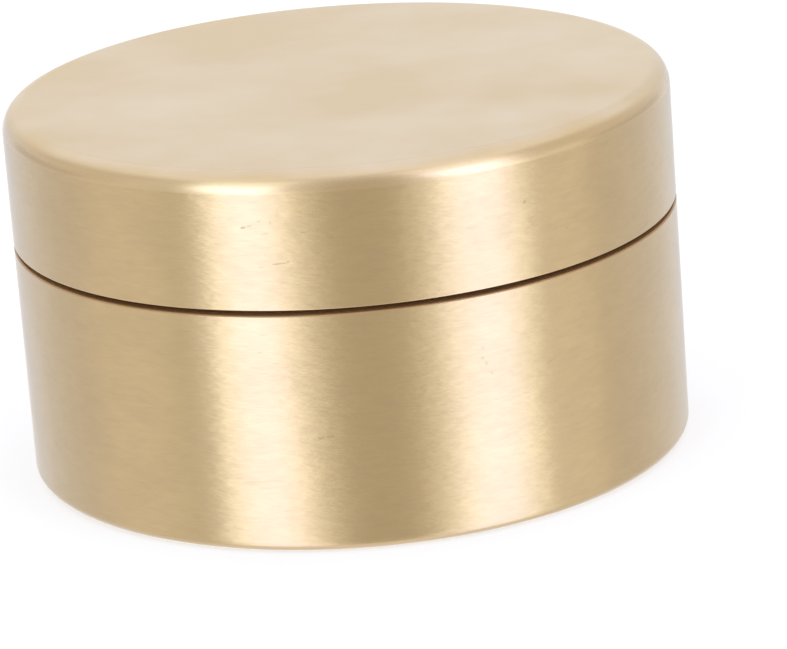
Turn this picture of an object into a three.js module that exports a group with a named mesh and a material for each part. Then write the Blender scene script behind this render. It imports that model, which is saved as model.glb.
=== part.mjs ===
// Round brass keepsake box with a screw lid and a rubber sealing ring.
// Millimetres. The box stands on z = 0 and every piece is turned about the z axis.

import * as THREE from 'three';

// Outside of the closed box
const outsideDiameter = 49;
const closedHeight = 27.7;
const lidHeight = 9.8; // from the rim of the lid to its top face
const seamGap = 0.36; // open line between the rim of the lid and the shoulder of the cup
const lidEdgeRadius = 1.55;
const lidRimChamfer = 0.1;
const shoulderChamfer = 0.15;
const footEdgeRadius = 0.9;

// Walls
const lidTopThickness = 2;
const lidSkirtThickness = 1.4; // at the mouth of the lid
const cupFloorThickness = 2;
const neckThickness = 1.3; // behind the thread
const cupCornerRadius = 1.5; // between the floor and the bore of the cup

// Screw joint between neck and lid, with both halves of the thread left plain
const threadRoom = 0.9; // radial room that the two threads share
const threadReliefWidth = 0.8; // turned clear where each thread runs out
const threadReliefDepth = 0.15;
const neckLeadChamfer = 0.4; // guides the lid on to the neck
const neckBoreChamfer = 0.25;

// Smooth sealing land at the root of the neck, and the mouth of the lid that slides over it
const sealLandHeight = 3.4;
const sealLandChamfer = 0.2;
const slidingClearance = 0.1; // radial, between the land and the mouth
const mouthStep = 0.3; // radial, from the bore of the lid out to its mouth
const mouthOverrun = 0.3; // how far the mouth runs on above the land
const mouthChamfer = 0.3;

// Sealing ring, drawn squeezed as it sits in its groove
const ringSection = 1.2; // thickness of the ring before it is fitted
const ringSqueeze = 0.2; // flattened by this much between groove and mouth
const ringContactGap = 0.05; // left open on the flattened faces
const ringSideRoom = 0.3; // free length of the groove along the neck

// Fineness of the turned surfaces
const turnSteps = 96;
const arcHalfSteps = 3; // steps in half of each rounded edge

// Heights of the main shoulders
const lidRim = closedHeight - lidHeight;
const shoulder = lidRim - seamGap;
const neckTop = closedHeight - lidTopThickness; // the lid stops here, on the rim of the neck
const landTop = shoulder + sealLandHeight;
const mouthTop = landTop + mouthOverrun;

// Radii, from the outside in
const outsideRadius = outsideDiameter / 2;
const mouthRadius = outsideRadius - lidSkirtThickness;
const landRadius = mouthRadius - slidingClearance;
const lidBoreRadius = mouthRadius - mouthStep;
const neckRadius = lidBoreRadius - threadRoom;
const cupBoreRadius = neckRadius - neckThickness;

// The squeezed ring keeps its area of section, so it grows along the neck as it flattens
const ringWidth = ringSection - ringSqueeze;
const ringGrowth = (Math.PI / 4) * (ringSection ** 2 - ringWidth ** 2) / ringWidth;
const ringLength = ringWidth + ringGrowth;
const ringOuterRadius = mouthRadius - ringContactGap;
const ringInnerRadius = ringOuterRadius - ringWidth;

// The groove is centred on the part of the land that the mouth of the lid covers
const grooveMiddle = (lidRim + mouthChamfer + landTop - sealLandChamfer) / 2;
const grooveLength = ringLength + ringSideRoom;
const grooveRadius = ringInnerRadius - ringContactGap;

// Turns a profile of (radius, height) points, drawn anticlockwise round its material
function turnedPiece(name, profile, material) {
  const geometry = new THREE.LatheGeometry(profile.getPoints(arcHalfSteps), turnSteps);
  geometry.rotateX(Math.PI / 2);
  const piece = new THREE.Mesh(geometry, material);
  piece.name = name;
  return piece;
}

function baseCupProfile() {
  const footCentre = outsideRadius - footEdgeRadius;
  const reliefRadius = neckRadius - threadReliefDepth;
  const threadStart = landTop + threadReliefWidth;
  const cornerCentre = cupBoreRadius - cupCornerRadius;
  const cornerHeight = cupFloorThickness + cupCornerRadius;
  const profile = new THREE.Path();

  // Underside, foot, outer wall and shoulder
  profile.moveTo(0, 0);
  profile.lineTo(footCentre, 0);
  profile.absarc(footCentre, footEdgeRadius, footEdgeRadius, -Math.PI / 2, 0);
  profile.lineTo(outsideRadius, shoulder - shoulderChamfer);
  profile.lineTo(outsideRadius - shoulderChamfer, shoulder);

  // Sealing land with the groove of the ring
  profile.lineTo(landRadius, shoulder);
  profile.lineTo(landRadius, grooveMiddle - grooveLength / 2);
  profile.lineTo(grooveRadius, grooveMiddle - grooveLength / 2);
  profile.lineTo(grooveRadius, grooveMiddle + grooveLength / 2);
  profile.lineTo(landRadius, grooveMiddle + grooveLength / 2);
  profile.lineTo(landRadius, landTop - sealLandChamfer);
  profile.lineTo(landRadius - sealLandChamfer, landTop);

  // Thread relief, plain neck and rim
  profile.lineTo(reliefRadius, landTop);
  profile.lineTo(reliefRadius, threadStart - threadReliefDepth);
  profile.lineTo(neckRadius, threadStart);
  profile.lineTo(neckRadius, neckTop - neckLeadChamfer);
  profile.lineTo(neckRadius - neckLeadChamfer, neckTop);
  profile.lineTo(cupBoreRadius + neckBoreChamfer, neckTop);

  // Bore and floor
  profile.lineTo(cupBoreRadius, neckTop - neckBoreChamfer);
  profile.lineTo(cupBoreRadius, cornerHeight);
  profile.absarc(cornerCentre, cornerHeight, cupCornerRadius, 0, -Math.PI / 2, true);
  profile.lineTo(0, cupFloorThickness);
  return profile;
}

function lidProfile() {
  const reliefRadius = lidBoreRadius + threadReliefDepth;
  const reliefBottom = neckTop - threadReliefWidth;
  const edgeCentre = outsideRadius - lidEdgeRadius;
  const edgeHeight = closedHeight - lidEdgeRadius;
  const profile = new THREE.Path();

  // Ceiling, thread relief and plain bore
  profile.moveTo(0, neckTop);
  profile.lineTo(reliefRadius, neckTop);
  profile.lineTo(reliefRadius, reliefBottom + threadReliefDepth);
  profile.lineTo(lidBoreRadius, reliefBottom);
  profile.lineTo(lidBoreRadius, mouthTop + mouthStep);

  // Wider mouth that seals on the ring, and the rim
  profile.lineTo(mouthRadius, mouthTop);
  profile.lineTo(mouthRadius, lidRim + mouthChamfer);
  profile.lineTo(mouthRadius + mouthChamfer, lidRim);
  profile.lineTo(outsideRadius - lidRimChamfer, lidRim);

  // Skirt, rounded edge and flat top
  profile.lineTo(outsideRadius, lidRim + lidRimChamfer);
  profile.lineTo(outsideRadius, edgeHeight);
  profile.absarc(edgeCentre, edgeHeight, lidEdgeRadius, 0, Math.PI / 2);
  profile.lineTo(0, closedHeight);
  return profile;
}

// A round section pressed flat on its inner and outer sides
function sealRingProfile() {
  const endRadius = ringWidth / 2;
  const middleRadius = ringInnerRadius + endRadius;
  const lowerEnd = grooveMiddle - ringLength / 2 + endRadius;
  const upperEnd = grooveMiddle + ringLength / 2 - endRadius;
  const profile = new THREE.Path();
  profile.moveTo(ringOuterRadius, lowerEnd);
  profile.lineTo(ringOuterRadius, upperEnd);
  profile.absarc(middleRadius, upperEnd, endRadius, 0, Math.PI);
  profile.lineTo(ringInnerRadius, lowerEnd);
  profile.absarc(middleRadius, lowerEnd, endRadius, Math.PI, 2 * Math.PI);
  return profile;
}

const cupBrass = new THREE.MeshStandardMaterial({
  name: 'cup_brass',
  color: 0xcbb287,
  roughness: 0.35,
  metalness: 1,
});
const lidBrass = new THREE.MeshStandardMaterial({
  name: 'lid_brass',
  color: 0xd2bb92,
  roughness: 0.38,
  metalness: 1,
});
const ringRubber = new THREE.MeshStandardMaterial({
  name: 'ring_rubber',
  color: 0x1c1a18,
  roughness: 0.6,
  metalness: 0,
});

const box = new THREE.Group();
box.name = 'screw_lid_box';
box.add(turnedPiece('base_cup', baseCupProfile(), cupBrass));
box.add(turnedPiece('seal_ring', sealRingProfile(), ringRubber));
box.add(turnedPiece('lid', lidProfile(), lidBrass));

export default box;
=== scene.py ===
import math

import bmesh
import bpy
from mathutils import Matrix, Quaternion, Vector


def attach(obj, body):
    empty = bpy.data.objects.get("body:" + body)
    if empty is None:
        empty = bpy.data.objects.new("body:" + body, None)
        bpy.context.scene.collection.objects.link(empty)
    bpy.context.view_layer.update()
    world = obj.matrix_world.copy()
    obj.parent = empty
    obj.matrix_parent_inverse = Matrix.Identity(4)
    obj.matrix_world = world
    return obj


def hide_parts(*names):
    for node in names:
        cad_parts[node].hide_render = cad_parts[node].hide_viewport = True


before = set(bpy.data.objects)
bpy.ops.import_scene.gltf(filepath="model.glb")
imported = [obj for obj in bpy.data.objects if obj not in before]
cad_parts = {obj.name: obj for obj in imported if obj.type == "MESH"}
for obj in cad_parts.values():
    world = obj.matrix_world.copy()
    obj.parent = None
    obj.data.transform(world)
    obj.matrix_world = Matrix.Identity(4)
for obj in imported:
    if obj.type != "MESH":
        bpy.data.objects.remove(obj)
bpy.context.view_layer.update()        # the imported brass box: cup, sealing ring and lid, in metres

mm = 0.001


# camera fitted to the rims and the seam of the photographed box
shot = {
    "aim": (0, 0, 13.85),       # mm, middle of the closed box
    "distance": 340.75,         # mm
    "elevation": 16.85,         # degrees
    "roll": -4.58,
    "pan": -0.5585,             # puts the box left of the middle of the picture
    "tilt": -0.79,              # and above it
    "lens": 210.2,
    "sensor": 36,
    "nearClip": 0.01,           # m
}


def placeCamera():
    rise = math.radians(shot["elevation"])
    back = Vector((0, -math.cos(rise), math.sin(rise)))
    turn = (-back).to_track_quat("-Z", "Y")
    turn = turn @ Quaternion((0, 0, 1), math.radians(shot["roll"]))
    turn = turn @ Quaternion((0, 1, 0), math.radians(shot["pan"]))
    turn = turn @ Quaternion((1, 0, 0), math.radians(shot["tilt"]))
    bpy.ops.object.camera_add(location=(Vector(shot["aim"]) + back * shot["distance"]) * mm)
    camera = bpy.context.active_object
    camera.rotation_euler = turn.to_euler()
    camera.data.lens = shot["lens"]
    camera.data.sensor_width = shot["sensor"]
    camera.data.clip_start = shot["nearClip"]
    bpy.context.scene.camera = camera


placeCamera()
print("camera placed")


# small helpers for the node trees
def addNode(tree, kind, place, **settings):
    node = tree.nodes.new("ShaderNode" + kind)
    node.location = place
    for name, setting in settings.items():
        setattr(node, name, setting)
    return node


def feed(tree, socket, source):     # an output is linked, a number or a colour is set
    if isinstance(source, bpy.types.NodeSocket):
        tree.links.new(source, socket)
    else:
        socket.default_value = source


def doMath(tree, operation, place, *sources):
    node = addNode(tree, "Math", place, operation=operation)
    for socket, source in zip(node.inputs, sources):
        feed(tree, socket, source)
    return node.outputs[0]


def spread(tree, place, source, fromLow, fromHigh, toLow, toHigh, smooth=False):
    node = addNode(tree, "MapRange", place)
    node.interpolation_type = "SMOOTHSTEP" if smooth else "LINEAR"
    for socket, value in zip(node.inputs, (source, fromLow, fromHigh, toLow, toHigh)):
        feed(tree, socket, value)
    return node.outputs[0]


def mixColour(tree, place, factor, first, second):
    node = addNode(tree, "Mix", place, data_type="RGBA")
    feed(tree, node.inputs[0], factor)
    feed(tree, node.inputs[6], first)       # the colour sockets of a Mix node
    feed(tree, node.inputs[7], second)
    return node.outputs[2]


def startGroup(name, inputs, outputs):
    group = bpy.data.node_groups.new(name, "ShaderNodeTree")
    for label, kind in inputs:
        group.interface.new_socket(label, in_out="INPUT", socket_type="NodeSocket" + kind)
    for label, kind in outputs:
        group.interface.new_socket(label, in_out="OUTPUT", socket_type="NodeSocket" + kind)
    entry = group.nodes.new("NodeGroupInput")
    entry.location = (-900, 0)
    leave = group.nodes.new("NodeGroupOutput")
    leave.location = (900, 0)
    return group, entry.outputs, leave.inputs


def useGroup(tree, group, place, **values):
    node = addNode(tree, "Group", place, node_tree=group)
    for label, value in values.items():
        feed(tree, node.inputs[label], value)
    return node.outputs


def startMaterial(name):
    material = bpy.data.materials.new(name)
    material.use_nodes = True
    tree = material.node_tree
    shader = tree.nodes["Principled BSDF"]
    shader.location = (600, 0)
    tree.nodes["Material Output"].location = (950, 0)
    place = addNode(tree, "TexCoord", (-1100, 0)).outputs["Object"]
    return material, tree, shader.inputs, place


# strokes left round the axis by the lathe and the brush: lines up a wall, rings on a flat face
strokeNoise = {
    "slant": 0.62,              # how much the radius counts beside the height
    "detail": 2.0, "roughness": 0.55,
    "broad": 0.07,              # fineness of the broad bands beside that of the lines
}


def makeTurnedLines():
    group, given, out = startGroup(
        "turnedLines",
        [("Vector", "Vector"), ("Fineness", "Float"), ("Run", "Float")],
        [("Lines", "Float"), ("Broad", "Float")],
    )
    split = addNode(group, "SeparateXYZ", (-700, 0))
    feed(group, split.inputs[0], given["Vector"])
    flat = addNode(group, "CombineXYZ", (-520, 160))
    feed(group, flat.inputs[0], split.outputs[0])
    feed(group, flat.inputs[1], split.outputs[1])
    radius = addNode(group, "VectorMath", (-340, 160), operation="LENGTH")
    feed(group, radius.inputs[0], flat.outputs[0])
    along = doMath(group, "MULTIPLY_ADD", (-160, 160), radius.outputs["Value"], strokeNoise["slant"],
                   split.outputs[2])
    across = doMath(group, "MULTIPLY", (0, 160), along, given["Fineness"])

    drawn = addNode(group, "CombineXYZ", (0, -100))     # noise drawn out round the axis
    feed(group, drawn.inputs[0], doMath(group, "MULTIPLY", (-160, -60), split.outputs[0], given["Run"]))
    feed(group, drawn.inputs[1], doMath(group, "MULTIPLY", (-160, -160), split.outputs[1], given["Run"]))
    feed(group, drawn.inputs[2], across)
    stroke = addNode(group, "TexNoise", (200, 200))
    feed(group, stroke.inputs["Vector"], drawn.outputs[0])
    stroke.inputs["Scale"].default_value = 1.0
    stroke.inputs["Detail"].default_value = strokeNoise["detail"]
    stroke.inputs["Roughness"].default_value = strokeNoise["roughness"]
    feed(group, out["Lines"], stroke.outputs["Fac"])

    broad = addNode(group, "TexNoise", (200, -420), noise_dimensions="1D")
    feed(group, broad.inputs["W"], doMath(group, "MULTIPLY", (0, -420), across, strokeNoise["broad"]))
    broad.inputs["Scale"].default_value = 1.0
    broad.inputs["Detail"].default_value = strokeNoise["detail"]
    feed(group, out["Broad"], broad.outputs["Fac"])
    return group


# one short scratch or nick on a round wall; its angle is counted from the front, positive to the right
markSolid = {"Length": 0.2, "Width": 0.0}       # share of each size, from the middle, at full depth


def makeWallMark():
    group, given, out = startGroup(
        "wallMark",
        [("Vector", "Vector"), ("Angle", "Float"), ("Height", "Float"), ("Length", "Float"),
         ("Width", "Float"), ("Tilt", "Float")],
        [("Mask", "Float")],
    )
    split = addNode(group, "SeparateXYZ", (-700, 0))
    feed(group, split.inputs[0], given["Vector"])
    x, y, z = split.outputs
    squares = doMath(group, "ADD", (-340, 300), doMath(group, "MULTIPLY", (-520, 340), x, x),
                     doMath(group, "MULTIPLY", (-520, 260), y, y))
    radius = doMath(group, "SQRT", (-160, 300), squares)
    angle = doMath(group, "ARCTAN2", (-340, 120), x, doMath(group, "MULTIPLY", (-520, 120), y, -1.0))
    turned = doMath(group, "SUBTRACT", (-160, 120), angle, given["Angle"])
    along = doMath(group, "MULTIPLY", (0, 120), turned, radius)
    up = doMath(group, "SUBTRACT", (-160, -60), z, given["Height"])
    cosine = doMath(group, "COSINE", (-160, -200), given["Tilt"])
    sine = doMath(group, "SINE", (-160, -300), given["Tilt"])
    reach = doMath(group, "ADD", (340, 120), doMath(group, "MULTIPLY", (170, 160), along, cosine),
                   doMath(group, "MULTIPLY", (170, 80), up, sine))
    across = doMath(group, "SUBTRACT", (340, -60), doMath(group, "MULTIPLY", (170, -40), up, cosine),
                    doMath(group, "MULTIPLY", (170, -120), along, sine))
    masks = []
    for distance, size, height in ((reach, "Length", 120), (across, "Width", -60)):
        inner = doMath(group, "MULTIPLY", (340, height - 200), given[size], markSolid[size])
        outer = doMath(group, "MULTIPLY", (340, height - 280), given[size], 0.5)
        away = doMath(group, "ABSOLUTE", (500, height), distance)
        masks.append(spread(group, (660, height), away, inner, outer, 1.0, 0.0, smooth=True))
    feed(group, out["Mask"], doMath(group, "MULTIPLY", (800, 60), *masks))
    return group


# soft patches where the polish is a little more or less open
cloudNoise = {"detail": 1.5, "roughness": 0.45, "middle": 0.5}


def makeSoftClouds():
    group, given, out = startGroup(
        "softClouds",
        [("Vector", "Vector"), ("Size", "Float"), ("Softness", "Float")],
        [("Cloud", "Float")],
    )
    noise = addNode(group, "TexNoise", (0, 0))
    feed(group, noise.inputs["Vector"], given["Vector"])
    feed(group, noise.inputs["Scale"], doMath(group, "DIVIDE", (-300, 0), 1.0, given["Size"]))
    noise.inputs["Detail"].default_value = cloudNoise["detail"]
    noise.inputs["Roughness"].default_value = cloudNoise["roughness"]
    low = doMath(group, "SUBTRACT", (0, -300), cloudNoise["middle"], given["Softness"])
    high = doMath(group, "ADD", (0, -400), cloudNoise["middle"], given["Softness"])
    cloud = spread(group, (300, 0), noise.outputs["Fac"], low, high, 0.0, 1.0, smooth=True)
    feed(group, out["Cloud"], cloud)
    return group


turnedLines = makeTurnedLines()
wallMark = makeWallMark()
softClouds = makeSoftClouds()

brass = {
    "bright": (0.538, 0.380, 0.182, 1),     # crest of a brush stroke
    "dull": (0.510, 0.358, 0.169, 1),       # between strokes
    "lacquer": 1.0,                         # clear coat that pales the brass at a slant
    "lacquerRough": 0.28, "lacquerIor": 1.5,
    "drawn": 0.95,                          # how far the brush draws the gloss of a wall out
    "drawnTurn": 0.25,                      # a quarter turn, so that it is drawn out up the wall
}
markTones = {
    "scratches": (0.100, 0.140, 0.045, 1),
    "faint": (0.070, 0.230, 0.080, 1),
    "nicks": (0.300, 0.200, 0.085, 1),
}


def lacquer(shader, ior=brass["lacquerIor"]):
    shader["Metallic"].default_value = 1.0
    shader["Coat Weight"].default_value = brass["lacquer"]
    shader["Coat Roughness"].default_value = brass["lacquerRough"]
    shader["Coat IOR"].default_value = ior


def addMarks(tree, place, marks, left):
    total = 0.0
    for i, (angle, height, length, width, tilt, depth) in enumerate(marks):
        y = -700 - 260 * i
        mask = useGroup(
            tree, wallMark, (left, y), Vector=place, Angle=math.radians(angle), Height=height * mm,
            Length=length * mm, Width=width * mm, Tilt=math.radians(tilt),
        )["Mask"]
        deep = doMath(tree, "MULTIPLY", (left + 200, y), mask, depth)
        total = doMath(tree, "MAXIMUM", (left + 380, y), total, deep)
    return total


# straight walls of cup and lid, brushed round the axis
brushing = {
    "strokeFrom": 0.30, "strokeTo": 0.70,           # part of the noise that is spread into strokes
    "gapFrom": 0.35, "gapTo": 0.60,                 # strokes cut the marks up, to between these depths
    "markLeast": 0.5, "markMost": 1.1,
    "markRough": 0.2, "cloudSoft": 0.2,
}


def makeBrushedBrass(name, wall):
    material, tree, shader, place = startMaterial(name)
    lines = useGroup(
        tree, turnedLines, (-850, 200), Vector=place, Fineness=wall["fineness"], Run=wall["run"])
    wide = useGroup(
        tree, turnedLines, (-850, 400), Vector=place, Fineness=wall["sweepFineness"], Run=wall["sweepRun"])
    clouds = useGroup(
        tree, softClouds, (-850, -100), Vector=place, Size=wall["cloudSize"] * mm,
        Softness=brushing["cloudSoft"])
    shown = (brushing["strokeFrom"], brushing["strokeTo"], 0.0, 1.0)
    hairs = spread(tree, (-500, 200), lines["Lines"], *shown)
    sweeps = spread(tree, (-500, 400), wide["Lines"], *shown)
    strokes = doMath(tree, "MULTIPLY_ADD", (-300, 300), sweeps, wall["sweepShare"],
                     doMath(tree, "MULTIPLY", (-400, 200), hairs, 1 - wall["sweepShare"]))
    broken = spread(tree, (-120, -300), lines["Lines"], brushing["gapFrom"], brushing["gapTo"],
                    brushing["markLeast"], brushing["markMost"])
    tone = mixColour(tree, (-120, 260), strokes, brass["dull"], brass["bright"])
    marks = 0.0
    for i, (kind, markTone) in enumerate(markTones.items()):
        if kind not in wall:
            continue
        masks = addMarks(tree, place, wall[kind], -500 - 900 * i)
        masks = doMath(tree, "MULTIPLY", (0, -300 - 200 * i), masks, broken)
        tone = mixColour(tree, (60 + 170 * i, 260), masks, tone, markTone)
        marks = doMath(tree, "MAXIMUM", (170, -300 - 200 * i), marks, masks)
    feed(tree, shader["Base Color"], tone)
    satin = spread(tree, (0, 0), strokes, 0.0, 1.0, wall["roughHigh"], wall["roughLow"])
    worn = spread(tree, (0, -150), clouds["Cloud"], 0.0, 1.0, -wall["cloudRough"], wall["cloudRough"])
    satin = doMath(tree, "ADD", (170, 0), satin, worn)
    rough = doMath(tree, "MULTIPLY_ADD", (340, 0), marks, brushing["markRough"], satin)
    feed(tree, shader["Roughness"], rough)
    lacquer(shader)
    shader["Anisotropic"].default_value = brass["drawn"]
    shader["Anisotropic Rotation"].default_value = brass["drawnTurn"]
    around = addNode(tree, "Tangent", (340, -300), direction_type="RADIAL", axis="Z")
    feed(tree, shader["Tangent"], around.outputs[0])
    grooves = doMath(tree, "MULTIPLY_ADD", (0, -600), hairs, wall["hairRelief"],
                     doMath(tree, "MULTIPLY", (-170, -600), sweeps, wall["sweepRelief"]))
    scored = doMath(tree, "MULTIPLY", (0, -450), marks, wall["markRelief"])
    relief = doMath(tree, "SUBTRACT", (170, -450), grooves, scored)
    bump = addNode(tree, "Bump", (340, -450))
    bump.inputs["Strength"].default_value = 1.0
    bump.inputs["Distance"].default_value = mm
    feed(tree, bump.inputs["Height"], relief)
    feed(tree, shader["Normal"], bump.outputs[0])
    return material


# marks: angle from the front, height mm, length mm, width mm, tilt, depth
cupWall = {
    "fineness": 7000, "run": 1000, "sweepFineness": 2300, "sweepRun": 600, "sweepShare": 0.5,
    "cloudSize": 3.5, "cloudRough": 0.02, "roughLow": 0.35, "roughHigh": 0.41,
    "hairRelief": 0.005, "sweepRelief": 0.0095, "markRelief": 0.008,
    "faint": [
        (21.0, 13.7, 0.50, 0.34, -80, 0.20),
        (20.9, 13.0, 0.32, 0.30, 0, 0.34),
        (21.5, 12.6, 0.44, 0.40, -60, 0.22),
        (22.3, 11.8, 0.44, 0.40, -70, 0.19),
        (-17.2, 5.4, 3.60, 0.22, 4, 0.17),
        (-14.8, 16.2, 0.80, 0.24, 5, 0.20),
        (-15.6, 14.9, 0.55, 0.26, 0, 0.20),
        (-13.2, 14.1, 0.70, 0.26, 3, 0.16),
    ],
    "nicks": [
        (33.9, 11.6, 1.10, 0.24, 25, 0.30),
        (-6.6, 8.57, 0.55, 0.24, 8, 0.60),
        (-5.2, 8.66, 0.75, 0.22, 8, 0.56),
    ],
}
lidWall = {
    "fineness": 7000, "run": 1000, "sweepFineness": 2300, "sweepRun": 600, "sweepShare": 0.5,
    "cloudSize": 3.5, "cloudRough": 0.02, "roughLow": 0.35, "roughHigh": 0.41,
    "hairRelief": 0.005, "sweepRelief": 0.0095, "markRelief": 0.008,
    "scratches": [
        (-16.7, 23.95, 0.50, 0.26, 12, 0.55),
        (-15.7, 24.06, 0.50, 0.22, 14, 0.40),
        (-11.1, 21.34, 1.50, 0.15, 5, 0.40),
        (-9.7, 21.46, 0.32, 0.20, 5, 0.35),
    ],
    "faint": [
        (-14.0, 24.40, 0.40, 0.28, 10, 0.38),
        (-12.1, 24.30, 0.40, 0.30, 60, 0.19),
        (-13.1, 23.50, 0.70, 0.24, 5, 0.18),
        (-18.9, 24.50, 0.60, 0.22, 0, 0.13),
        (-14.2, 21.10, 0.70, 0.26, 5, 0.20),
        (20.6, 22.5, 1.00, 0.18, 3, 0.15),
    ],
    "nicks": [
        (-6.5, 23.55, 0.80, 0.20, 6, 0.20),
        (30.6, 23.5, 0.36, 0.32, 0, 0.62),
        (38.9, 20.8, 0.30, 0.26, 0, 0.30),
    ],
}


# rounded edges of lid and foot, buffed smoother than the walls, with a thicker bead of lacquer
edgeFinish = {
    "pale": (0.538, 0.381, 0.192, 1), "deep": (0.512, 0.359, 0.178, 1),
    "cloudSize": 3.0, "cloudSoft": 0.25,
    "roughLow": 0.27, "roughHigh": 0.30, "drawn": 0.5, "lacquerIor": 1.53,
}


def makeEdgeBrass():
    material, tree, shader, place = startMaterial("buffedEdgeBrass")
    clouds = useGroup(
        tree, softClouds, (-850, 200), Vector=place, Size=edgeFinish["cloudSize"] * mm,
        Softness=edgeFinish["cloudSoft"])
    feed(tree, shader["Base Color"], mixColour(
        tree, (0, 260), clouds["Cloud"], edgeFinish["deep"], edgeFinish["pale"]))
    feed(tree, shader["Roughness"], spread(
        tree, (0, 0), clouds["Cloud"], 0.0, 1.0, edgeFinish["roughHigh"], edgeFinish["roughLow"]))
    lacquer(shader, edgeFinish["lacquerIor"])
    shader["Anisotropic"].default_value = edgeFinish["drawn"]
    shader["Anisotropic Rotation"].default_value = brass["drawnTurn"]
    around = addNode(tree, "Tangent", (340, -300), direction_type="RADIAL", axis="Z")
    feed(tree, shader["Tangent"], around.outputs[0])
    return material


lid = {
    "outer": 24.5, "top": 27.7, "rim": 17.9, "mouth": 23.1, "mouthTop": 21.24,
    "bore": 22.8, "boreStart": 21.54, "relief": 22.95, "reliefStart": 24.9, "reliefFull": 25.05,
    "ceiling": 25.7,
    "topRound": 1.55, "rimBreak": 0.1, "mouthChamfer": 0.3,
    "edgeFrom": 0.06,           # slope at which the wall gives way to the buffed edges
}


# top of the lid: satin with faint cloudy patches, running out into the buffed edge
topFinish = {
    "large": 9.0, "small": 2.6,                 # mm, the two sizes of patch
    "largeSoft": 0.25, "smallSoft": 0.3,
    "largeShare": 0.45, "smallShare": 0.25, "leastShare": 0.15,
    # painted light: pale and deep are paler than the wall brass and stand in for light falling on the top
    # from above
    "pale": (0.629, 0.476, 0.272, 1), "deep": (0.573, 0.396, 0.164, 1),
    # round spots, darker where depth is positive and paler where negative: x and y mm, width mm, depth
    "toneSpots": [
        (2.0, -3.5, 18.0, 0.40),
        (3.5, 0.0, 10.0, 0.40),
        (2.0, -8.0, 13.0, 0.45),
        (8.0, -6.0, 9.0, 0.28),
        (12.5, -8.0, 9.0, 0.40),
        (18.0, -8.5, 9.0, 0.45),
        (-7.0, 15.0, 24.0, 0.80),
        (-19.5, 9.5, 14.0, 0.50),
        (-20.5, -9.0, 10.0, 0.50),
        (-13.5, -18.5, 9.0, 0.40),
        (16.0, -16.0, 9.0, 0.30),
        (14.0, 9.0, 14.0, -0.50),
        (18.0, 2.0, 14.0, -0.36),
        (12.0, -13.0, 9.0, -0.40),
        (4.0, -15.0, 13.0, -0.42),
        (-6.0, -15.0, 13.0, -0.34),
        (-12.5, -3.0, 10.0, -0.20),
    ],
    "grain": 9000, "grainDetail": 2.0, "grainDepth": 0.003, "bump": 0.1,
    "roughLow": 0.50, "roughHigh": 0.57,
    "satinEnd": 23.92, "edgeStart": 24.24,      # mm from the axis
    "wallEnd": 26.15, "buffedFrom": 26.60,      # mm up
    "wallRough": 0.38,
}


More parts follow.
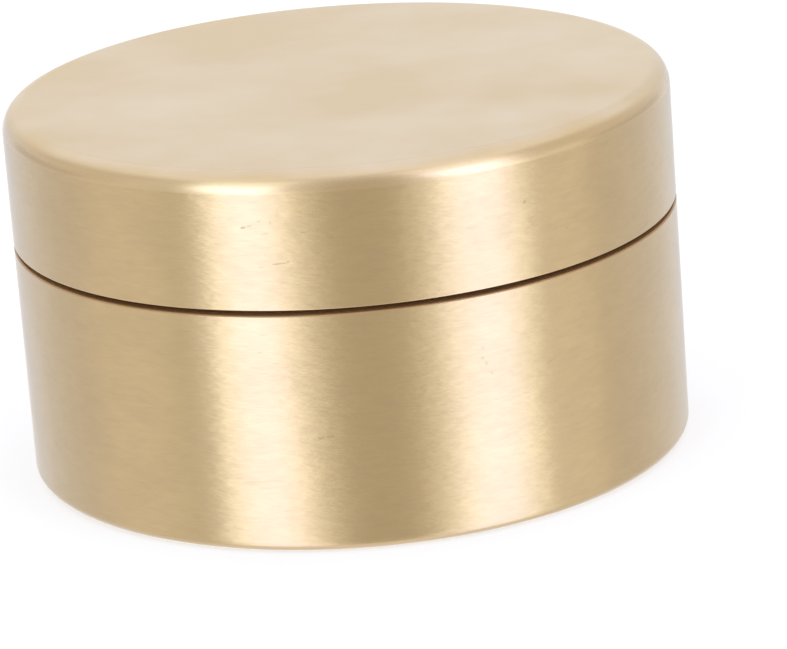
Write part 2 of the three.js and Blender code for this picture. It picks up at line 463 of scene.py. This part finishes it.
def makeTopBrass():
    material, tree, shader, place = startMaterial("satinTopBrass")
    large = useGroup(
        tree, softClouds, (-850, 100), Vector=place, Size=topFinish["large"] * mm,
        Softness=topFinish["largeSoft"])
    small = useGroup(
        tree, softClouds, (-850, -100), Vector=place, Size=topFinish["small"] * mm,
        Softness=topFinish["smallSoft"])
    patches = doMath(tree, "MULTIPLY_ADD", (-650, 100), large["Cloud"], topFinish["largeShare"],
                     topFinish["leastShare"])
    patches = doMath(tree, "MULTIPLY_ADD", (-500, 0), small["Cloud"], topFinish["smallShare"], patches)
    # round spots that make the top darker or paler in places
    for i, (x, y, size, depth) in enumerate(topFinish["toneSpots"]):
        off = addNode(tree, "VectorMath", (-1500, -300 * i), operation="DISTANCE")
        feed(tree, off.inputs[0], place)
        off.inputs[1].default_value = (x * mm, y * mm, lid["top"] * mm)
        toneSpot = spread(tree, (-1300, -300 * i), off.outputs["Value"], 0.0, size / 2 * mm, depth, 0.0,
                       smooth=True)
        patches = doMath(tree, "SUBTRACT", (-1100, -300 * i), patches, toneSpot)
    # painted light: the top's tones are lighter than the walls, as light from above would make them
    tone = mixColour(tree, (-300, 200), patches, topFinish["deep"], topFinish["pale"])
    satin = spread(tree, (-300, -100), patches, 0.0, 1.0, topFinish["roughHigh"], topFinish["roughLow"])

    flat = addNode(tree, "VectorMath", (-850, 500), operation="MULTIPLY")
    feed(tree, flat.inputs[0], place)
    flat.inputs[1].default_value = (1, 1, 0)
    away = addNode(tree, "VectorMath", (-680, 500), operation="LENGTH")
    feed(tree, away.inputs[0], flat.outputs[0])
    edge = spread(tree, (-500, 500), away.outputs["Value"], topFinish["satinEnd"] * mm,
                  topFinish["edgeStart"] * mm, 0.0, 1.0, smooth=True)
    feed(tree, shader["Base Color"], mixColour(tree, (0, 200), edge, tone, edgeFinish["pale"]))
    height = addNode(tree, "SeparateXYZ", (-850, 750))
    feed(tree, height.inputs[0], place)
    rise = (height.outputs[2], topFinish["wallEnd"] * mm, topFinish["buffedFrom"] * mm)
    buffed = spread(tree, (-500, 900), *rise, topFinish["wallRough"], edgeFinish["roughLow"], smooth=True)
    drawn = spread(tree, (-500, 750), *rise, brass["drawn"], edgeFinish["drawn"], smooth=True)
    rough = addNode(tree, "Mix", (0, -100), data_type="FLOAT")
    feed(tree, rough.inputs[0], edge)
    feed(tree, rough.inputs[2], satin)      # the number sockets of a Mix node
    feed(tree, rough.inputs[3], buffed)
    feed(tree, shader["Roughness"], rough.outputs[0])
    lacquer(shader)
    feed(tree, shader["Anisotropic"], doMath(tree, "MULTIPLY", (170, 0), edge, drawn))
    shader["Anisotropic Rotation"].default_value = brass["drawnTurn"]
    around = addNode(tree, "Tangent", (340, -150), direction_type="RADIAL", axis="Z")
    feed(tree, shader["Tangent"], around.outputs[0])

    grain = addNode(tree, "TexNoise", (-850, -350))
    feed(tree, grain.inputs["Vector"], place)
    grain.inputs["Scale"].default_value = topFinish["grain"]
    grain.inputs["Detail"].default_value = topFinish["grainDetail"]
    bump = addNode(tree, "Bump", (340, -300))
    bump.inputs["Strength"].default_value = topFinish["bump"]
    bump.inputs["Distance"].default_value = topFinish["grainDepth"] * mm
    feed(tree, bump.inputs["Height"], grain.outputs["Fac"])
    feed(tree, shader["Normal"], bump.outputs[0])
    return material


# everything that the lathe left as cut: neck, bore, floor, underside and the inside of the lid
cutFinish = {
    "fineness": 3600, "run": 40, "lineFrom": 0.34, "lineTo": 0.66, "lineDepth": 0.006, "bump": 0.5,
    "broadFrom": 0.3, "broadTo": 0.7, "roughLow": 0.30, "roughHigh": 0.46,
    "seamShade": (0.365, 0.202, 0.076, 1),        # painted shade: darker brass on the faces inside the seam between lid and cup
    "seamShadeMetal": 0.3,                        # how much shine the painted seam shade leaves
    "seamShadeStart": 17.2, "seamShadeFull": 17.4,  # mm up
    "seamShadeTop": 18.1, "seamShadeEnd": 18.5,
}


def makeCutBrass():
    material, tree, shader, place = startMaterial("latheCutBrass")
    lines = useGroup(
        tree, turnedLines, (-850, 0), Vector=place, Fineness=cutFinish["fineness"], Run=cutFinish["run"])
    evened = spread(tree, (-340, 100), lines["Lines"], cutFinish["lineFrom"], cutFinish["lineTo"], 0.0, 1.0)
    clean = mixColour(tree, (0, 260), evened, brass["dull"], brass["bright"])
    height = addNode(tree, "SeparateXYZ", (-850, 400))
    feed(tree, height.inputs[0], place)
    # painted shade: a band of darker, duller brass on the faces inside the seam, where the gap lies in
    # shade
    seam = doMath(
        tree, "MULTIPLY", (-150, 500),
        spread(tree, (-340, 600), height.outputs[2], cutFinish["seamShadeStart"] * mm,
               cutFinish["seamShadeFull"] * mm, 0.0, 1.0, smooth=True),
        spread(tree, (-340, 400), height.outputs[2], cutFinish["seamShadeTop"] * mm,
               cutFinish["seamShadeEnd"] * mm, 1.0, 0.0, smooth=True))
    feed(tree, shader["Base Color"], mixColour(tree, (170, 260), seam, clean, cutFinish["seamShade"]))
    feed(tree, shader["Roughness"], spread(
        tree, (0, 0), lines["Broad"], cutFinish["broadFrom"], cutFinish["broadTo"],
        cutFinish["roughLow"], cutFinish["roughHigh"]))
    feed(tree, shader["Metallic"], spread(tree, (170, 500), seam, 0.0, 1.0, 1.0, cutFinish["seamShadeMetal"]))
    bump = addNode(tree, "Bump", (340, -300))
    bump.inputs["Strength"].default_value = cutFinish["bump"]
    bump.inputs["Distance"].default_value = cutFinish["lineDepth"] * mm
    feed(tree, bump.inputs["Height"], evened)
    feed(tree, shader["Normal"], bump.outputs[0])
    return material


rubber = {
    "dark": (0.010, 0.009, 0.008, 1), "pale": (0.019, 0.017, 0.016, 1),
    "cloudSize": 1.2, "cloudSoft": 0.25,
    "grain": 6000, "grainDetail": 2.0, "grainFrom": 0.3, "grainTo": 0.7, "grainDepth": 0.01, "bump": 0.3,
    "roughLow": 0.52, "roughHigh": 0.70,
    "gloss": 0.32, "glossTint": (1.0, 0.88, 0.70, 1),
}


def makeRubber():
    material, tree, shader, place = startMaterial("mattRubber")
    clouds = useGroup(
        tree, softClouds, (-850, 0), Vector=place, Size=rubber["cloudSize"] * mm,
        Softness=rubber["cloudSoft"])
    grain = addNode(tree, "TexNoise", (-850, -300))
    feed(tree, grain.inputs["Vector"], place)
    grain.inputs["Scale"].default_value = rubber["grain"]
    grain.inputs["Detail"].default_value = rubber["grainDetail"]
    feed(tree, shader["Base Color"], mixColour(
        tree, (0, 200), clouds["Cloud"], rubber["dark"], rubber["pale"]))
    feed(tree, shader["Roughness"], spread(
        tree, (0, 0), grain.outputs["Fac"], rubber["grainFrom"], rubber["grainTo"],
        rubber["roughLow"], rubber["roughHigh"]))
    shader["Specular IOR Level"].default_value = rubber["gloss"]
    shader["Specular Tint"].default_value = rubber["glossTint"]
    bump = addNode(tree, "Bump", (340, -300))
    bump.inputs["Strength"].default_value = rubber["bump"]
    bump.inputs["Distance"].default_value = rubber["grainDepth"] * mm
    feed(tree, bump.inputs["Height"], grain.outputs["Fac"])
    feed(tree, shader["Normal"], bump.outputs[0])
    return material


cupBrass = makeBrushedBrass("brushedCupBrass", cupWall)
lidBrass = makeBrushedBrass("brushedLidBrass", lidWall)
edgeBrass = makeEdgeBrass()
topBrass = makeTopBrass()
cutBrass = makeCutBrass()
ringRubber = makeRubber()
print("materials made:", len(bpy.data.materials))


# turned pieces: a disc is carried along the outline, station by station, as on the lathe
turning = {
    "sides": 256,
    "near": 2e-6,               # m, closer than this counts as the same place
    "sharpAngle": 33,
}


def turnPiece(name, stations):
    bpy.ops.object.select_all(action="DESELECT")
    radius, height = stations[0]
    bpy.ops.mesh.primitive_circle_add(
        vertices=turning["sides"], radius=radius * mm, fill_type="NGON", location=(0, 0, height * mm))
    piece = bpy.context.active_object
    piece.name = name
    piece.data.name = name
    bpy.ops.object.transform_apply(location=True, rotation=True, scale=True)
    bpy.ops.object.mode_set(mode="EDIT")
    bpy.ops.mesh.select_mode(type="FACE")
    bpy.ops.mesh.select_all(action="SELECT")
    for nextRadius, nextHeight in stations[1:]:
        bpy.ops.mesh.extrude_region_move(
            TRANSFORM_OT_translate={"value": (0, 0, (nextHeight - height) * mm)})
        if nextRadius != radius:
            factor = nextRadius / radius
            bpy.ops.transform.resize(value=(factor, factor, 1), center_override=(0, 0, nextHeight * mm))
        radius, height = nextRadius, nextHeight
    return piece


def breakEdge(piece, radius, height, size, segments):
    bpy.ops.mesh.select_mode(type="EDGE")
    bpy.ops.mesh.select_all(action="DESELECT")
    editMesh = bmesh.from_edit_mesh(piece.data)
    for edge in editMesh.edges:
        if all(abs(math.hypot(v.co.x, v.co.y) - radius * mm) < turning["near"]
               and abs(v.co.z - height * mm) < turning["near"] for v in edge.verts):
            edge.select_set(True)
    bmesh.update_edit_mesh(piece.data)
    bpy.ops.mesh.bevel(offset=size * mm, segments=segments, profile=0.5, affect="EDGES")


def closePiece():
    bpy.ops.mesh.select_all(action="SELECT")
    bpy.ops.mesh.normals_make_consistent(inside=False)
    bpy.ops.object.mode_set(mode="OBJECT")


def evenShading(piece):
    bpy.ops.object.select_all(action="DESELECT")
    piece.select_set(True)
    bpy.context.view_layer.objects.active = piece
    bpy.ops.object.shade_smooth_by_angle(angle=math.radians(turning["sharpAngle"]))
    even = piece.modifiers.new("evenNormals", "WEIGHTED_NORMAL")
    even.keep_sharp = True
    bpy.ops.object.modifier_apply(modifier=even.name)


cup = {
    "outer": 24.5, "shoulder": 17.54, "land": 23.0, "landTop": 20.94,
    "groove": 22.0, "grooveLow": 18.647, "grooveHigh": 20.293, "relief": 21.75, "reliefTop": 21.59,
    "neck": 21.9, "threadStart": 21.74, "rim": 25.7, "bore": 20.6, "floor": 2.0,
    "footRound": 0.9, "shoulderBreak": 0.15, "grooveBreak": 0.06, "landBreak": 0.2,
    "rimChamfer": 0.4, "boreBreak": 0.25, "floorRound": 1.5,
    "edgeFrom": 0.3,            # downward slope at which the buffed foot begins
    "seamFrom": 0.4,            # upward slope from which faces take the cut finish with its painted seam shade
}


def makeCup():
    piece = turnPiece("brassCup", [
        (cup["outer"], 0), (cup["outer"], cup["shoulder"]), (cup["land"], cup["shoulder"]),
        (cup["land"], cup["grooveLow"]), (cup["groove"], cup["grooveLow"]),
        (cup["groove"], cup["grooveHigh"]), (cup["land"], cup["grooveHigh"]),
        (cup["land"], cup["landTop"]), (cup["relief"], cup["landTop"]),
        (cup["relief"], cup["reliefTop"]), (cup["neck"], cup["threadStart"]),
        (cup["neck"], cup["rim"]), (cup["bore"], cup["rim"]), (cup["bore"], cup["floor"]),
    ])
    breakEdge(piece, cup["outer"], 0, cup["footRound"], segments=8)
    breakEdge(piece, cup["outer"], cup["shoulder"], cup["shoulderBreak"], segments=4)
    breakEdge(piece, cup["land"], cup["grooveLow"], cup["grooveBreak"], segments=2)
    breakEdge(piece, cup["land"], cup["grooveHigh"], cup["grooveBreak"], segments=2)
    breakEdge(piece, cup["land"], cup["landTop"], cup["landBreak"], segments=3)
    breakEdge(piece, cup["neck"], cup["rim"], cup["rimChamfer"], segments=1)
    breakEdge(piece, cup["bore"], cup["rim"], cup["boreBreak"], segments=4)
    breakEdge(piece, cup["bore"], cup["floor"], cup["floorRound"], segments=10)
    closePiece()
    for material in (cupBrass, edgeBrass, cutBrass):
        piece.data.materials.append(material)
    for face in piece.data.polygons:
        away = math.hypot(face.center.x, face.center.y)
        inside = away < (cup["outer"] - cup["footRound"]) * mm
        if inside or face.center.z > cup["shoulder"] * mm or face.normal.z > cup["seamFrom"]:
            face.material_index = 2
        else:
            face.material_index = 1 if face.normal.z < -cup["edgeFrom"] else 0
    return piece


def makeLid():
    piece = turnPiece("brassLid", [
        (lid["outer"], lid["top"]), (lid["outer"], lid["rim"]), (lid["mouth"], lid["rim"]),
        (lid["mouth"], lid["mouthTop"]), (lid["bore"], lid["boreStart"]),
        (lid["bore"], lid["reliefStart"]), (lid["relief"], lid["reliefFull"]),
        (lid["relief"], lid["ceiling"]),
    ])
    breakEdge(piece, lid["outer"], lid["top"], lid["topRound"], segments=16)
    breakEdge(piece, lid["outer"], lid["rim"], lid["rimBreak"], segments=4)
    breakEdge(piece, lid["mouth"], lid["rim"], lid["mouthChamfer"], segments=1)
    closePiece()
    for material in (lidBrass, edgeBrass, topBrass, cutBrass):
        piece.data.materials.append(material)
    for face in piece.data.polygons:
        away = math.hypot(face.center.x, face.center.y)
        inside = away < (lid["outer"] - lid["rimBreak"]) * mm
        if inside and face.center.z < lid["ceiling"] * mm + turning["near"]:
            face.material_index = 3
        elif face.normal.z > lid["edgeFrom"]:
            face.material_index = 2
        else:
            face.material_index = 1 if face.normal.z < -lid["edgeFrom"] else 0
    return piece


# squeezed sealing ring in its groove
ring = {"outer": 23.05, "inner": 22.05, "middle": 19.47, "growth": 0.3456, "around": 192, "section": 32}


def makeRing():
    bpy.ops.object.select_all(action="DESELECT")
    bpy.ops.mesh.primitive_torus_add(
        location=(0, 0, ring["middle"] * mm), major_segments=ring["around"], minor_segments=ring["section"],
        major_radius=(ring["outer"] + ring["inner"]) / 2 * mm,
        minor_radius=(ring["outer"] - ring["inner"]) / 2 * mm)
    piece = bpy.context.active_object
    piece.name = "rubberRing"
    piece.data.name = "rubberRing"
    bpy.ops.object.transform_apply(location=True, rotation=True, scale=True)
    bpy.ops.object.mode_set(mode="EDIT")
    bpy.ops.mesh.select_mode(type="VERT")
    for side in (1, -1):        # the squeeze pushes the upper and the lower half apart
        bpy.ops.mesh.select_all(action="DESELECT")
        editMesh = bmesh.from_edit_mesh(piece.data)
        for vertex in editMesh.verts:
            vertex.select_set((vertex.co.z - ring["middle"] * mm) * side > turning["near"])
        bmesh.update_edit_mesh(piece.data)
        bpy.ops.transform.translate(value=(0, 0, side * ring["growth"] / 2 * mm))
    closePiece()
    piece.data.materials.append(ringRubber)
    bpy.ops.object.shade_smooth()
    return piece


# two-start right-hand thread: one ridge is wound for the neck and one for the lid,
# and each is copied half a turn on
neckThread = {
    "root": 21.8, "crest": 22.6, "base": 0.86, "tip": 0.30,
    "first": 22.2, "turns": 0.933, "start": 0,
}
lidThread = {
    "root": 22.9, "crest": 22.1, "base": 0.86, "tip": 0.30,
    "first": 22.05, "turns": 0.8167, "start": 72,
}
winding = {"lead": 3.0, "steps": 120, "fadeSteps": 12, "fadePower": 1.5, "tipRound": 0.1, "tipSegments": 3}


def selectVerts(piece, wanted):
    bpy.ops.mesh.select_mode(type="VERT")
    bpy.ops.mesh.select_all(action="DESELECT")
    editMesh = bmesh.from_edit_mesh(piece.data)
    for vertex in editMesh.verts:
        if wanted(vertex.co):
            vertex.select_set(True)
    bmesh.update_edit_mesh(piece.data)


def turnsAlong(thread, co):     # how far along the winding a point lies, in turns
    turn = (math.atan2(co.y, co.x) - math.radians(thread["start"])) / (2 * math.pi)
    risen = (co.z / mm - thread["first"]) / winding["lead"]
    return turn + round(risen - turn)


def cutRidge(name, thread):
    bpy.ops.object.select_all(action="DESELECT")
    middle = (thread["root"] + thread["crest"]) / 2
    bpy.ops.mesh.primitive_plane_add(
        size=1, location=(middle * mm, 0, thread["first"] * mm), rotation=(math.pi / 2, 0, 0))
    ridge = bpy.context.active_object
    ridge.name = name
    ridge.data.name = name
    ridge.scale = (abs(thread["crest"] - thread["root"]) * mm, thread["base"] * mm, 1)
    bpy.ops.object.transform_apply(location=True, rotation=True, scale=True)
    bpy.ops.object.mode_set(mode="EDIT")
    selectVerts(ridge, lambda co: abs(co.x - thread["crest"] * mm) < turning["near"])
    bpy.ops.transform.resize(
        value=(1, 1, thread["tip"] / thread["base"]),
        center_override=(thread["crest"] * mm, 0, thread["first"] * mm))
    bpy.ops.mesh.bevel(offset=winding["tipRound"] * mm, segments=winding["tipSegments"], affect="VERTICES")
    bpy.ops.mesh.select_all(action="SELECT")
    bpy.ops.mesh.delete(type="ONLY_FACE")
    bpy.ops.object.mode_set(mode="OBJECT")
    ridge.rotation_euler.z = math.radians(thread["start"])
    bpy.ops.object.transform_apply(location=True, rotation=True, scale=True)

    wind = ridge.modifiers.new("wind", "SCREW")
    wind.axis = "Z"
    wind.angle = 2 * math.pi * thread["turns"]
    wind.screw_offset = winding["lead"] * thread["turns"] * mm
    wind.steps = winding["steps"]
    wind.render_steps = winding["steps"]
    bpy.ops.object.modifier_apply(modifier=wind.name)

    # both ends sink into the metal, as where a thread runs out
    bpy.ops.object.mode_set(mode="EDIT")
    step = thread["turns"] / winding["steps"]
    inward = (thread["root"] - thread["crest"]) * mm
    for i in range(winding["fadeSteps"]):
        sink = inward * (1 - i / winding["fadeSteps"]) ** winding["fadePower"]
        for turn in (i * step, thread["turns"] - i * step):
            selectVerts(ridge, lambda co: abs(turnsAlong(thread, co) - turn) < step / 2)
            angle = 2 * math.pi * turn + math.radians(thread["start"])
            bpy.ops.transform.translate(value=(sink * math.cos(angle), sink * math.sin(angle), 0))
    bpy.ops.mesh.select_mode(type="EDGE")
    bpy.ops.mesh.select_all(action="DESELECT")
    bpy.ops.mesh.select_non_manifold(extend=False, use_wire=False, use_multi_face=False,
                                     use_non_contiguous=False, use_verts=False)
    bpy.ops.mesh.fill_holes(sides=0)
    closePiece()
    ridge.data.materials.append(cutBrass)
    return ridge


def addThread(piece, name, thread):
    ridge = cutRidge(name, thread)
    bpy.ops.object.duplicate()
    second = bpy.context.active_object
    second.rotation_euler.z = math.pi
    bpy.ops.object.transform_apply(location=True, rotation=True, scale=True)
    bpy.ops.object.select_all(action="DESELECT")
    for part in (ridge, second, piece):
        part.select_set(True)
    bpy.context.view_layer.objects.active = piece
    bpy.ops.object.join()


brassCup = makeCup()
addThread(brassCup, "neckRidge", neckThread)
print("cup turned and threaded:", len(brassCup.data.polygons), "faces")
brassLid = makeLid()
addThread(brassLid, "lidRidge", lidThread)
print("lid turned and threaded:", len(brassLid.data.polygons), "faces")
rubberRing = makeRing()
print("ring made:", len(rubberRing.data.polygons), "faces")

evenShading(brassCup)
evenShading(brassLid)

for piece, body, node, slot in (
    (brassCup, "base", "base_cup", "cup_brass"),
    (brassLid, "lid", "lid", "lid_brass"),
    (rubberRing, "seal", "seal_ring", "ring_rubber"),
):
    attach(piece, body)
    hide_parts(node)


# white light table and studio lamps, most of them tinted to meet the tones of the photograph
studio = {
    "floorSize": 6.0, "floorGlow": 0.62, "floorColour": (0.36, 0.345, 0.315, 1),
    "lampReach": 0.85,          # m from the box
    "coreReach": 0.82,          # the core of a strip hangs in front of it
    "powerPerArea": 4.0,
}


def layFloor():
    bpy.ops.mesh.primitive_plane_add(size=studio["floorSize"], location=(0, 0, 0))
    floor = bpy.context.active_object
    floor.name = "lightTable"
    material = bpy.data.materials.new("lightTableWhite")
    material.use_nodes = True
    tree = material.node_tree
    shader = tree.nodes["Principled BSDF"].inputs
    shader["Base Color"].default_value = studio["floorColour"]
    shader["Roughness"].default_value = 1.0
    shader["Specular IOR Level"].default_value = 0.0
    shader["Emission Color"].default_value = (1, 1, 1, 1)
    shader["Emission Strength"].default_value = studio["floorGlow"]
    floor.data.materials.append(material)
    floor.visible_glossy = False
    floor.visible_shadow = False


# direction seen from the box: azimuth 0 is towards the camera and positive to the right
def aside(azimuth, elevation):
    turn, rise = math.radians(azimuth), math.radians(elevation)
    return Vector((math.sin(turn) * math.cos(rise), -math.cos(turn) * math.cos(rise), math.sin(rise)))


# glow is the brightness of a lamp beside the white of the room
def hangLamp(name, azimuth, elevation, width, height, glow, colour, reach):
    toward = aside(azimuth, elevation)
    bpy.ops.object.light_add(type="AREA", location=Vector(shot["aim"]) * mm + toward * reach)
    lamp = bpy.context.active_object
    lamp.name = name
    lamp.rotation_euler = (-toward).to_track_quat("-Z", "Y").to_euler()
    lamp.data.shape = "RECTANGLE"
    lamp.data.size = width
    lamp.data.size_y = height
    lamp.data.energy = glow * width * height * studio["powerPerArea"]
    lamp.data.color = colour
    lamp.visible_camera = False


def standCard(name, azimuth, elevation, width, height, tone):
    toward = aside(azimuth, elevation)
    place = Vector(shot["aim"]) * mm + toward * studio["lampReach"]
    bpy.ops.mesh.primitive_plane_add(size=1, location=place)
    card = bpy.context.active_object
    card.name = name
    card.scale = (width, height, 1)
    card.rotation_euler = (-toward).to_track_quat("Z", "Y").to_euler()
    bpy.ops.object.transform_apply(location=True, rotation=True, scale=True)
    material = bpy.data.materials.new(name + "Grey")
    material.use_nodes = True
    tree = material.node_tree
    glow = addNode(tree, "Emission", (300, 0))
    glow.inputs["Color"].default_value = tone
    feed(tree, tree.nodes["Material Output"].inputs["Surface"], glow.outputs[0])
    card.data.materials.append(material)
    card.visible_camera = False
    card.visible_diffuse = False


def lightWorld():
    world = bpy.data.worlds.new("whiteRoom")
    world.use_nodes = True
    world.node_tree.nodes["Background"].inputs["Color"].default_value = (1, 1, 1, 1)
    world.node_tree.nodes["Background"].inputs["Strength"].default_value = 1.0
    bpy.context.scene.world = world


layFloor()
lightWorld()
stripTone = (0.82, 0.95, 1)
white = (1, 1, 1)
far, near = studio["lampReach"], studio["coreReach"]
# the blue tints hold back the yellow of the bright bands and the top, which white lamps would show;
# part of the strengths and tones of lamps and cards came from a fit to the photograph
# azimuth, elevation, width m, height m, glow, colour, m from the box
lamps = {
    "leftStrip": (-32.8, -26, 0.462, 1.15, 1.20, stripTone, far),
    "leftCore": (-33.4, -26, 0.25, 1.10, 1.28, (0.08, 0.10, 1), near),
    "leftStripTop": (-38.5, 34, 0.42, 0.75, 1.05, (0.60, 0.75, 1), far),
    "leftCoreTop": (-36, 17, 0.38, 0.46, 1.70, (0.50, 0.64, 1), near),
    "rightStrip": (47.9, -26, 0.515, 1.15, 1.13, stripTone, far),
    "rightCore": (47.3, -26, 0.27, 1.10, 1.32, (0.06, 0.15, 1), near),
    "rightStripTop": (46.3, 34, 0.46, 0.83, 1.02, (0.60, 0.68, 1), far),
    "rightCoreTop": (42, 20, 0.36, 0.42, 1.95, (0.40, 0.51, 1), near),
    "leftFill": (-82, -24, 0.60, 0.6, 0.16, white, far),
    "rightFill": (80, -14, 0.30, 0.85, 0.21, white, far),
    "leftSpill": (-72, 18, 0.25, 0.45, 0.15, (0.42, 0.62, 1), far),
    "frontTop": (0, 50, 0.40, 0.70, 0.10, (0, 0.20, 1), near),
    "topSoftbox": (180, 70, 1.5, 1.3, 0.58, (0.38, 0.545, 1), far),
    "overhead": (180, 75, 0.50, 0.50, 0.34, (0, 0.16, 1), near),
    "topLeftFill": (-150, 33, 0.30, 0.36, 0.24, (0.85, 0.88, 1), far),
    "backStrip": (180, -30, 0.40, 0.66, 0.42, white, far),
    "tableGlow": (0, -90, 0.8, 0.8, 0.12, white, far),
}
for name, lamp in lamps.items():
    hangLamp(name, *lamp)
# azimuth, elevation, width m, height m, tone
cards = {
    "frontCard": (6, 0, 0.42, 1.8, (0.758, 0.737, 0.676, 1)),
    "leftCard": (-59, 0, 0.18, 1.6, (0.89, 0.910, 0.865, 1)),
    "sideLeftCard": (-118, 2, 0.72, 0.20, (0.76, 0.76, 0.76, 1)),
    "highLeftCard": (-125, 27, 0.30, 0.20, (0.86, 0.86, 0.86, 1)),
    "sideRightCard": (114, 3, 0.76, 0.19, (0.79, 0.79, 0.79, 1)),
    "backLeftCard": (-153, 0, 0.16, 1.6, (0.85, 0.87, 0.94, 1)),
    "backRightCard": (158, 0, 0.16, 1.6, (0.83, 0.86, 0.91, 1)),
}
for name, card in cards.items():
    standCard(name, *card)
bpy.context.scene.view_settings.view_transform = "Standard"
print("studio lit")
